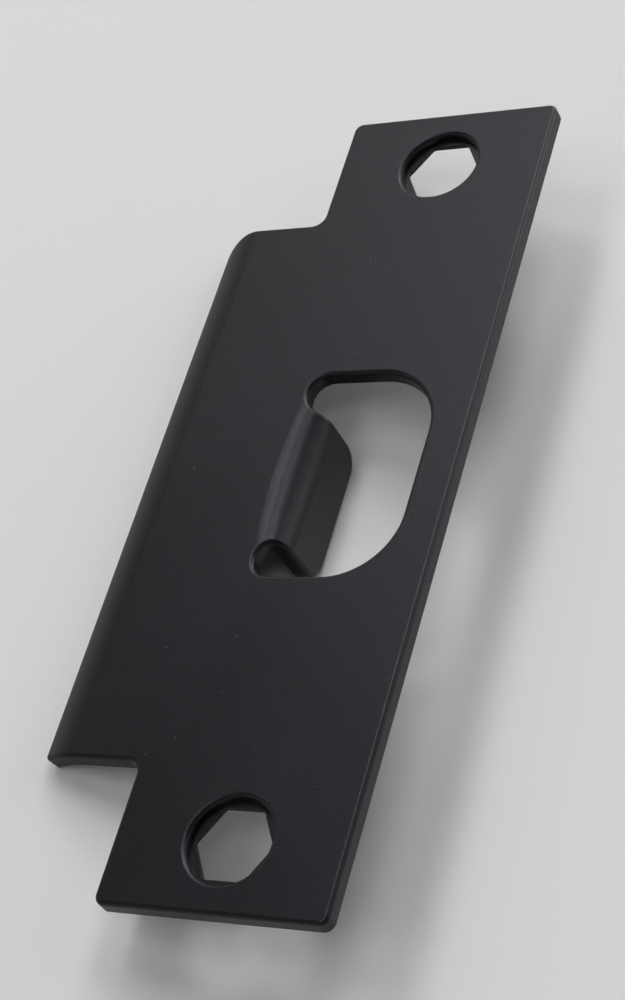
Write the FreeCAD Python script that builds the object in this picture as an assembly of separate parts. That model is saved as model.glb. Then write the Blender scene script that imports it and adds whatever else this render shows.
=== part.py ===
"""Door strike plate: one blanked and folded steel sheet with a curved lip and a latch tab.

Frame: the origin is midway between the two screw holes, on the plate's face. +Y runs along the
plate, the lip points to -X, and +Z points out of the face. Lengths are in millimetres, angles in
degrees. Unless a comment says otherwise, a distance is measured from the origin.
"""
import FreeCAD, Part
import math
import os

Vector = FreeCAD.Vector

# Sheet and plate
THICKNESS = 2.15
PLATE_LENGTH = 123.825
PLATE_WIDTH = 31.75
PLATE_CORNER_RADIUS = 1.3
EDGE_ROLL = 0.55

# Lip: a flat continuation of the plate that curves down to its free edge
LIP_LENGTH = 85.7
LIP_REACH = 31.0
LIP_BEND_RADIUS = 9.0
LIP_BEND_ANGLE = 33.0
LIP_EDGE_LEAN = 14.0
LIP_ROOT_RADIUS = 1.8
LIP_UPPER_CORNER_RADIUS = 4.4

# Latch opening
OPENING_LENGTH = 31.75
OPENING_SIDE = 10.41
OPENING_CORNER_RADIUS = 9.5

# Tab: the tongue cut from the opening and bent down at its lip side
TAB_WIDTH = 20.8
TAB_FACE = 6.0
TAB_DEPTH = 11.6
TAB_CORNER_RADIUS = 3.2
TAB_BEND_RADIUS = 2.2
TAB_BEND_RADIUS_AT_SLOT = 1.05
TAB_ROOT = 0.8

# Screw holes
SCREW_INSET = 9.525
MOUTH_DIAMETER = 11.5
MOUTH_DEPTH = 1.4
MOUTH_ROLL = 0.5
HEX_ACROSS_FLATS = 9.4
HEX_CORNER_RADIUS = 0.6

FACE = 0.0
BACK = FACE - THICKNESS
CLEAR = 10.0
ROUND_STEPS = 8
TOLERANCE = 1e-4


def box(low, high):
    """A box between two corners."""
    size = high - low
    return Part.makeBox(size.x, size.y, size.z, low)


def line(start, end):
    return Part.LineSegment(start, end).toShape()


def arc(start, middle, end):
    return Part.Arc(start, middle, end).toShape()


def bend_point(centre_x, centre_z, radius, angle, y, side):
    """The point of a bend whose sheet has turned down by angle, towards side along X."""
    turn = math.radians(angle)
    return Vector(centre_x + side * radius * math.sin(turn), y, centre_z + radius * math.cos(turn))


def lip_section(y):
    """The lip from the plate's edge to its free edge, cut across the plate."""
    outer, inner = LIP_BEND_RADIUS, LIP_BEND_RADIUS - THICKNESS
    turn = math.radians(LIP_BEND_ANGLE)
    centre_x = -LIP_REACH + outer * math.sin(turn)
    centre_z = FACE - outer
    root = -PLATE_WIDTH / 2

    def on_bend(radius, angle):
        return bend_point(centre_x, centre_z, radius, angle, y, -1)

    nose = on_bend(outer, LIP_BEND_ANGLE)
    inner_end = on_bend(inner, LIP_BEND_ANGLE)
    lean = math.radians(LIP_EDGE_LEAN)
    edge_length = THICKNESS / math.cos(turn - lean)
    heel = nose + Vector(math.sin(lean), 0, -math.cos(lean)) * edge_length
    edges = [
        line(Vector(root, y, BACK), Vector(root, y, FACE)),
        line(Vector(root, y, FACE), on_bend(outer, 0)),
        arc(on_bend(outer, 0), on_bend(outer, LIP_BEND_ANGLE / 2), nose),
        line(nose, heel),
        line(heel, inner_end),
        arc(inner_end, on_bend(inner, LIP_BEND_ANGLE / 2), on_bend(inner, 0)),
        line(on_bend(inner, 0), Vector(root, y, BACK)),
    ]
    return Part.Wire(edges)


def edges_along(shape, direction, test):
    """The straight edges of a shape that run along a direction and whose middle passes a test."""
    found = []
    for edge in shape.Edges:
        if not isinstance(edge.Curve, Part.Line):
            continue
        along = edge.Curve.Direction
        if abs(abs(along.dot(direction)) - 1) < TOLERANCE and test(edge.CenterOfMass):
            found.append(edge)
    return found


def square_corner_radius():
    """The least round of a square corner that the rolled rim can still turn."""
    return 1.1 * EDGE_ROLL


def blank():
    """The plate with its lip, with every corner rounded in plan."""
    half_width, half_length, half_lip = PLATE_WIDTH / 2, PLATE_LENGTH / 2, LIP_LENGTH / 2
    plate = box(Vector(-half_width, -half_length, BACK), Vector(half_width, half_length, FACE))
    lip = Part.Face(lip_section(-half_lip)).extrude(Vector(0, LIP_LENGTH, 0))
    sheet = plate.fuse(lip).removeSplitter()

    up = Vector(0, 0, 1)
    corners = edges_along(sheet, up, lambda p: abs(p.y) > half_length - TOLERANCE)
    sheet = sheet.makeFillet(PLATE_CORNER_RADIUS, corners)
    roots = edges_along(sheet, up, lambda p: abs(p.x + half_width) < TOLERANCE)
    sheet = sheet.makeFillet(LIP_ROOT_RADIUS, roots)

    lean = math.radians(LIP_EDGE_LEAN)
    free_edge = Vector(math.sin(lean), 0, -math.cos(lean))
    upper = edges_along(sheet, free_edge, lambda p: p.y > half_lip - TOLERANCE)
    sheet = sheet.makeFillet(LIP_UPPER_CORNER_RADIUS, upper)
    lower = edges_along(sheet, free_edge, lambda p: p.y < TOLERANCE - half_lip)
    return sheet.makeFillet(square_corner_radius(), lower)


def slot_axis():
    """The distance along Y from the middle of the tab to the axis of the relief slot beside it."""
    return (OPENING_LENGTH + TAB_WIDTH) / 4


def slot_radius():
    return (OPENING_LENGTH - TAB_WIDTH) / 4


def slot_end():
    """The X at which both relief slots end, where the tab's bend begins beside them."""
    return -TAB_FACE - TAB_BEND_RADIUS_AT_SLOT - THICKNESS


def tab_root():
    """The X at which the strip that carries the tab joins the plate."""
    return -TAB_FACE - THICKNESS - max(TAB_BEND_RADIUS, TAB_BEND_RADIUS_AT_SLOT) - TAB_ROOT


def opening_prism():
    """The latch opening seen from the face, with the strip that carries the tab left out too."""
    half = OPENING_LENGTH / 2
    corner_x = OPENING_SIDE - OPENING_CORNER_RADIUS
    corner_y = half - OPENING_CORNER_RADIUS
    slot_x = slot_end() + slot_radius()

    def at(x, y):
        return Vector(x, y, BACK - CLEAR)

    def quarter(centre_x, side, distance, radius, turn):
        """A quarter round from the opening's side or end, on one side of the middle of its length."""
        slant = radius * math.sqrt(0.5)
        start = at(centre_x + turn * radius, side * distance)
        middle = at(centre_x + turn * slant, side * (distance + slant))
        return arc(start, middle, at(centre_x, side * half))

    outline = [line(at(OPENING_SIDE, -corner_y), at(OPENING_SIDE, corner_y)),
               line(at(tab_root(), -slot_axis()), at(tab_root(), slot_axis()))]
    for side in (-1, 1):
        outline += [
            quarter(corner_x, side, corner_y, OPENING_CORNER_RADIUS, 1),
            line(at(corner_x, side * half), at(slot_x, side * half)),
            quarter(slot_x, side, slot_axis(), slot_radius(), -1),
            line(at(slot_end(), side * slot_axis()), at(tab_root(), side * slot_axis())),
        ]
    wire = Part.Wire(Part.__sortEdges__(outline))
    return Part.Face(wire).extrude(Vector(0, 0, THICKNESS + 2 * CLEAR))


def tab_section(y, inner_radius):
    """The tab cut across its bend: flat at its root, turned down by a quarter, then straight."""
    outer_radius = inner_radius + THICKNESS
    centre_x = -TAB_FACE - outer_radius
    centre_z = FACE - outer_radius
    root = tab_root()
    tip = FACE - TAB_DEPTH

    def on_bend(radius, angle):
        return bend_point(centre_x, centre_z, radius, angle, y, 1)

    edges = [
        line(Vector(root, y, BACK), Vector(root, y, FACE)),
        line(Vector(root, y, FACE), on_bend(outer_radius, 0)),
        arc(on_bend(outer_radius, 0), on_bend(outer_radius, 45), on_bend(outer_radius, 90)),
        line(on_bend(outer_radius, 90), Vector(-TAB_FACE, y, tip)),
        line(Vector(-TAB_FACE, y, tip), Vector(-TAB_FACE - THICKNESS, y, tip)),
        line(Vector(-TAB_FACE - THICKNESS, y, tip), on_bend(inner_radius, 90)),
        arc(on_bend(inner_radius, 90), on_bend(inner_radius, 45), on_bend(inner_radius, 0)),
        line(on_bend(inner_radius, 0), Vector(root, y, BACK)),
    ]
    return Part.Wire(edges)


def slot_round(side):
    """The half of a slot's round end that lies on the tab's side, wrapped round the bend."""
    radius = slot_radius()
    outer_radius = TAB_BEND_RADIUS_AT_SLOT + THICKNESS
    centre_z = FACE - outer_radius
    last_angle = radius / outer_radius
    turns = [math.pi / 2 * step / ROUND_STEPS for step in range(ROUND_STEPS + 1)]
    rims = []
    for reach in (TAB_BEND_RADIUS_AT_SLOT / 2, outer_radius + CLEAR):
        points = []
        for turn in turns:
            angle = math.degrees(last_angle * (1 - math.cos(turn)))
            y = side * (slot_axis() - radius * math.sin(turn))
            points.append(bend_point(slot_end(), centre_z, reach, angle, y, 1))
        speed = reach * last_angle
        leaving = Vector(speed * math.cos(last_angle), 0, -speed * math.sin(last_angle))
        curve = Part.BSplineCurve()
        curve.interpolate(Points=points, Parameters=turns, Scale=False,
                          InitialTangent=Vector(0, -side * radius, 0), FinalTangent=leaving)
        rims.append(curve.toShape())
    wall = Part.makeRuledSurface(rims[0], rims[1])
    return wall.extrude(Vector(0, side * 2 * radius, 0))


def tab_side(side):
    """The waste beside the straight part of the tab's side, from the slot's round end down."""
    outer_radius = TAB_BEND_RADIUS_AT_SLOT + THICKNESS
    centre_z = FACE - outer_radius
    start = side * TAB_WIDTH / 2
    angle = math.degrees(slot_radius() / outer_radius)
    inner = bend_point(slot_end(), centre_z, TAB_BEND_RADIUS_AT_SLOT / 2, angle, start, 1)
    outer = bend_point(slot_end(), centre_z, outer_radius + CLEAR, angle, start, 1)
    low = FACE - TAB_DEPTH - CLEAR
    corners = [inner, outer, Vector(outer.x, start, low), Vector(inner.x, start, low), inner]
    return Part.Face(Part.makePolygon(corners)).extrude(Vector(0, side * 2 * slot_radius(), 0))


def tip_envelope():
    """The space that the tab's end keeps: round-cornered in the plane of the tab."""
    tip = FACE - TAB_DEPTH
    half = TAB_WIDTH / 2
    keep = box(Vector(tab_root(), -half, tip), Vector(-TAB_FACE, half, BACK - TAB_BEND_RADIUS))
    corners = edges_along(keep, Vector(1, 0, 0), lambda p: p.z < tip + TOLERANCE)
    keep = keep.makeFillet(TAB_CORNER_RADIUS, corners)
    above = box(Vector(tab_root(), -OPENING_LENGTH / 2, BACK - TAB_BEND_RADIUS),
                Vector(-TAB_FACE, OPENING_LENGTH / 2, FACE))
    return keep.fuse(above)


def tab():
    """The tab and the strip it bends from, whose bend grows tighter towards the slots."""
    sections = []
    for share in (-1, -0.5, 0, 0.5, 1):
        easing = share * share
        radius = TAB_BEND_RADIUS + (TAB_BEND_RADIUS_AT_SLOT - TAB_BEND_RADIUS) * easing
        sections.append(tab_section(share * slot_axis(), radius))
    strip = Part.makeLoft(sections, True, False).common(tip_envelope())
    for side in (-1, 1):
        strip = strip.cut(slot_round(side)).cut(tab_side(side))
    return strip


def roll_edge(shape, direction, test, radius):
    """Rounds the whole smooth chain of edges that one straight edge belongs to."""
    start = edges_along(shape, direction, test)
    return shape.makeFillet(radius, start[:1])


def near(value, other):
    return abs(value - other) < TOLERANCE


def screw_hole(y):
    """One screw hole: a round mouth over a hexagon whose flats face along the plate."""
    mouth = Part.makeCylinder(MOUTH_DIAMETER / 2, MOUTH_DEPTH + CLEAR, Vector(0, y, FACE - MOUTH_DEPTH))
    corner = HEX_ACROSS_FLATS / math.sqrt(3)
    points = []
    for turn in range(0, 361, 60):
        angle = math.radians(turn)
        points.append(Vector(corner * math.cos(angle), y + corner * math.sin(angle), BACK - CLEAR))
    height = THICKNESS + CLEAR - MOUTH_DEPTH / 2
    hexagon = Part.Face(Part.makePolygon(points)).extrude(Vector(0, 0, height))
    uprights = edges_along(hexagon, Vector(0, 0, 1), lambda p: True)
    return mouth.fuse(hexagon.makeFillet(HEX_CORNER_RADIUS, uprights))


def roll_mouth(sheet, y):
    """Rounds the rim of a screw hole's mouth."""
    rim = []
    for edge in sheet.Edges:
        is_circle = isinstance(edge.Curve, Part.Circle) and near(edge.Curve.Center.z, FACE)
        if is_circle and near(edge.Curve.Center.y, y) and near(edge.Curve.Radius, MOUTH_DIAMETER / 2):
            rim.append(edge)
    return sheet.makeFillet(MOUTH_ROLL, rim)


def strike_plate():
    along = Vector(0, 1, 0)
    half_width = PLATE_WIDTH / 2
    sheet = blank()
    sheet = roll_edge(sheet, along, lambda p: near(p.x, half_width) and near(p.z, FACE), EDGE_ROLL)
    sheet = sheet.cut(opening_prism()).fuse(tab()).removeSplitter()
    sheet = roll_edge(sheet, along, lambda p: near(p.x, OPENING_SIDE) and near(p.z, FACE), EDGE_ROLL)
    screw_y = PLATE_LENGTH / 2 - SCREW_INSET
    for y in (-screw_y, screw_y):
        sheet = roll_mouth(sheet.cut(screw_hole(y)), y)
    return sheet.Solids[0]


os.makedirs("parts", exist_ok=True)
strike_plate().exportStep("parts/strike_plate.step")
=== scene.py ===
import math

import bpy
from mathutils import Matrix, Vector

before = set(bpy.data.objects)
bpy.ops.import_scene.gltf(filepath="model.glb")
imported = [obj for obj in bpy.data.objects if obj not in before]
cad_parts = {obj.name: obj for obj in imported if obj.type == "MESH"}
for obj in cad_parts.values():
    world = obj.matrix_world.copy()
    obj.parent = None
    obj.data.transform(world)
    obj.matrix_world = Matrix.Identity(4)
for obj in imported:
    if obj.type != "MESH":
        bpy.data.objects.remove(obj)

# Everything is in metres, in the plate's frame: the origin is midway between the screw holes on
# the plate's face, +Y runs along the plate, the lip points to -X and +Z points out of the face.

# Camera
CAMERA_PLACE = (0.13431, -0.14363, 0.20468)
CAMERA_TARGET = (-0.00317, -0.00445, 0.0)
CAMERA_ROLL = -36.179
CAMERA_LENS = 79.265
CAMERA_SENSOR = 36.0
CAMERA_NEAR = 0.01
CAMERA_FAR = 20.0

# Table: the plate lies on the tip of its tab and on its lip's free edge, so in the plate's own
# frame the table slants. Each place is (X, Z); both edges run along Y.
TAB_TIP_EDGE = (-0.00815, -0.0116)
LIP_FREE_EDGE = (-0.03045, -0.00366)
TABLE_SIZE = 2.4
TABLE_COLOUR = (0.70, 0.70, 0.70)
TABLE_ROUGHNESS = 0.85

# Lamps, in the table's frame: place as (across the plate, along it, height), then width and
# height in metres and power in watts. The low wall is far off, so that it lights the table evenly.
LAMPS = {
    "panel_near": ((-0.65, -0.73, 1.44), 0.58, 0.32, 2.85),
    "panel_middle": ((-0.65, -0.03, 1.44), 0.43, 0.32, 2.7),
    "panel_far": ((-0.72, 0.76, 1.44), 0.43, 0.32, 5.0),
    "far_lamp": ((0.06, 1.12, 1.44), 0.5, 0.5, 6.5),
    "middle_lamp": ((-0.30, 3.38, 1.94), 1.94, 0.97, 52.0),
    "near_lamp": ((0.12, -0.37, 1.44), 0.5, 0.29, 1.2),
    "right_lamp": ((0.60, 0.45, 0.55), 0.36, 0.36, 0.57),
    "window": ((-1.08, 1.44, 1.30), 1.08, 0.65, 6.7),
    "low_wall": ((22.0, 33.4, 7.6), 26.0, 13.0, 7400.0),
}

# Room: pale near the horizon, nearly dark overhead; angles are in degrees above the table
HORIZON_GLOW = 0.6
CEILING_GLOW = 0.02
HORIZON_TOP = 15.0
CEILING_START = 23.0

# Coating: its colour and gloss change slowly over the plate, a fine grain and a wider, fainter
# unevenness roughen it, and a few specks of dust lie on it
COAT_COLOUR = (0.0030, 0.0032, 0.0042)
COAT_COLOUR_RISE = 1.2
COAT_ROUGHNESS = 0.38
COAT_ROUGHNESS_FALL = 0.02
COAT_ROUGHNESS_RISE = 0.03
COAT_IOR = 1.5
COAT_SPECULAR = 0.3
COAT_TINT = (0.96, 0.99, 1.08, 1.0)
BROAD_SCALE = 45.0
GRAIN_SCALE = 3000.0
GRAIN_DEPTH = 0.000035
GRAIN_STRENGTH = 0.6
PEEL_SCALE = 900.0
PEEL_DEPTH = 0.00004
PEEL_STRENGTH = 0.18
DUST_COLOUR = (0.20, 0.20, 0.21)
DUST_SPACING = 0.0038
DUST_RADIUS = 0.00008


class Shader:
    """Adds and joins the nodes of one material."""

    def __init__(self, name):
        self.material = bpy.data.materials.new(name)
        self.material.use_nodes = True
        self.tree = self.material.node_tree
        self.tree.nodes.clear()
        self.out = self.tree.nodes.new("ShaderNodeOutputMaterial")

    def add(self, kind, **settings):
        node = self.tree.nodes.new("ShaderNode" + kind)
        for name, value in settings.items():
            setattr(node, name, value)
        return node

    def link(self, source, target):
        self.tree.links.new(source, target)

    def place(self):
        return self.add("TexCoord").outputs["Object"]

    def noise(self, place, scale, detail=2.0, rough=0.5):
        node = self.add("TexNoise")
        node.inputs["Scale"].default_value = scale
        node.inputs["Detail"].default_value = detail
        node.inputs["Roughness"].default_value = rough
        self.link(place, node.inputs["Vector"])
        return node.outputs["Fac"]

    def ramp(self, value, low, high, to_low=0.0, to_high=1.0):
        node = self.add("MapRange", clamp=True)
        node.inputs["From Min"].default_value = low
        node.inputs["From Max"].default_value = high
        node.inputs["To Min"].default_value = to_low
        node.inputs["To Max"].default_value = to_high
        self.link(value, node.inputs["Value"])
        return node.outputs["Result"]

    def specks(self, place, spacing, radius):
        """Masks small balls scattered in space, of which a surface cuts only a few."""
        node = self.add("TexVoronoi")
        node.inputs["Scale"].default_value = 1.0 / spacing
        self.link(place, node.inputs["Vector"])
        edge = radius / spacing
        return self.ramp(node.outputs["Distance"], 0.6 * edge, edge, 1.0, 0.0)

    def mix(self, factor, first, second):
        """Mixes two colours. A Mix node's colour sockets are found by number, as names repeat."""
        node = self.add("Mix", data_type="RGBA")
        self.link(factor, node.inputs["Factor"])
        for socket, colour in ((node.inputs[6], first), (node.inputs[7], second)):
            if isinstance(colour, tuple):
                socket.default_value = (*colour, 1.0)
            else:
                self.link(colour, socket)
        return node.outputs[2]

    def bump(self, height, distance, strength, normal=None):
        node = self.add("Bump")
        node.inputs["Strength"].default_value = strength
        node.inputs["Distance"].default_value = distance
        self.link(height, node.inputs["Height"])
        if normal:
            self.link(normal, node.inputs["Normal"])
        return node.outputs["Normal"]


def coated_steel():
    s = Shader("coated_steel")
    place = s.place()
    surface = s.add("BsdfPrincipled")
    broad = s.noise(place, BROAD_SCALE, 3.0)
    grain = s.noise(place, GRAIN_SCALE, 2.5, 0.6)
    peel = s.noise(place, PEEL_SCALE, 2.0)
    dust = s.specks(place, DUST_SPACING, DUST_RADIUS)

    lighter = tuple(COAT_COLOUR_RISE * c for c in COAT_COLOUR)
    colour = s.mix(s.ramp(broad, 0.35, 0.65), COAT_COLOUR, lighter)
    s.link(s.mix(dust, colour, DUST_COLOUR), surface.inputs["Base Color"])
    smooth = COAT_ROUGHNESS - COAT_ROUGHNESS_FALL
    rough = COAT_ROUGHNESS + COAT_ROUGHNESS_RISE
    s.link(s.ramp(broad, 0.3, 0.7, smooth, rough), surface.inputs["Roughness"])
    normal = s.bump(grain, GRAIN_DEPTH, GRAIN_STRENGTH)
    normal = s.bump(peel, PEEL_DEPTH, PEEL_STRENGTH, normal)
    s.link(normal, surface.inputs["Normal"])
    surface.inputs["IOR"].default_value = COAT_IOR
    surface.inputs["Specular IOR Level"].default_value = COAT_SPECULAR
    surface.inputs["Specular Tint"].default_value = COAT_TINT
    s.link(surface.outputs["BSDF"], s.out.inputs["Surface"])
    return s.material


def table_axes():
    """The table's directions across the plate, along it and up, in the plate's frame."""
    run = TAB_TIP_EDGE[0] - LIP_FREE_EDGE[0]
    fall = TAB_TIP_EDGE[1] - LIP_FREE_EDGE[1]
    across = Vector((run, 0.0, fall)).normalized()
    along = Vector((0.0, 1.0, 0.0))
    return across, along, across.cross(along)


def on_table(across, along, height):
    """A place given in the table's frame, whose origin is under the tip of the tab."""
    axes = table_axes()
    start = Vector((TAB_TIP_EDGE[0], 0.0, TAB_TIP_EDGE[1]))
    return start + axes[0] * across + axes[1] * along + axes[2] * height


def table_material():
    s = Shader("table")
    surface = s.add("BsdfPrincipled")
    surface.inputs["Base Color"].default_value = (*TABLE_COLOUR, 1.0)
    surface.inputs["Roughness"].default_value = TABLE_ROUGHNESS
    surface.inputs["Specular IOR Level"].default_value = 0.0
    s.link(surface.outputs["BSDF"], s.out.inputs["Surface"])
    return s.material


def add_table():
    half = TABLE_SIZE / 2
    mesh = bpy.data.meshes.new("table")
    outline = ((-half, -half), (half, -half), (half, half), (-half, half))
    corners = [on_table(x, y, 0.0) for x, y in outline]
    mesh.from_pydata(corners, [], [(0, 1, 2, 3)])
    table = bpy.data.objects.new("table", mesh)
    bpy.context.scene.collection.objects.link(table)
    mesh.materials.append(table_material())


def add_lamp(name, place, width, height, power):
    """A flat lamp that faces the plate, its width level with the table."""
    lamp = bpy.data.lights.new(name, "AREA")
    lamp.shape = "RECTANGLE"
    lamp.size = width
    lamp.size_y = height
    lamp.energy = power
    light = bpy.data.objects.new(name, lamp)
    centre = on_table(*place)
    outward = (centre - on_table(0.0, 0.0, 0.0)).normalized()
    level = table_axes()[2].cross(outward).normalized()
    turn = Matrix((level, outward.cross(level), outward)).transposed()
    light.matrix_world = Matrix.Translation(centre) @ turn.to_4x4()
    light.visible_camera = False
    bpy.context.scene.collection.objects.link(light)


def add_room():
    """The light of the room, which depends only on how far a direction is above the table."""
    world = bpy.data.worlds.new("room")
    world.use_nodes = True
    tree = world.node_tree
    background = tree.nodes["Background"]
    direction = tree.nodes.new("ShaderNodeTexCoord").outputs["Generated"]
    height = tree.nodes.new("ShaderNodeVectorMath")
    height.operation = "DOT_PRODUCT"
    height.inputs[1].default_value = table_axes()[2]
    glow = tree.nodes.new("ShaderNodeMapRange")
    glow.interpolation_type = "SMOOTHSTEP"
    glow.inputs["From Min"].default_value = math.sin(math.radians(HORIZON_TOP))
    glow.inputs["From Max"].default_value = math.sin(math.radians(CEILING_START))
    glow.inputs["To Min"].default_value = HORIZON_GLOW
    glow.inputs["To Max"].default_value = CEILING_GLOW
    tree.links.new(direction, height.inputs[0])
    tree.links.new(height.outputs["Value"], glow.inputs["Value"])
    background.inputs["Color"].default_value = (1.0, 1.0, 1.0, 1.0)
    tree.links.new(glow.outputs["Result"], background.inputs["Strength"])
    bpy.context.scene.world = world


def add_camera():
    data = bpy.data.cameras.new("camera")
    data.lens = CAMERA_LENS
    data.sensor_width = CAMERA_SENSOR
    data.clip_start = CAMERA_NEAR
    data.clip_end = CAMERA_FAR
    camera = bpy.data.objects.new("camera", data)
    aim = (Vector(CAMERA_TARGET) - Vector(CAMERA_PLACE)).to_track_quat("-Z", "Y")
    turn = Matrix.Rotation(math.radians(CAMERA_ROLL), 4, "Z")
    camera.matrix_world = Matrix.Translation(CAMERA_PLACE) @ aim.to_matrix().to_4x4() @ turn
    bpy.context.scene.collection.objects.link(camera)
    bpy.context.scene.camera = camera


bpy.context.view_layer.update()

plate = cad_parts["strike_plate"]
coating = coated_steel()
for material_slot in plate.material_slots:
    material_slot.material = coating

add_table()
for lamp_name, lamp in LAMPS.items():
    add_lamp(lamp_name, *lamp)
add_room()
add_camera()
bpy.context.scene.view_settings.view_transform = "Standard"
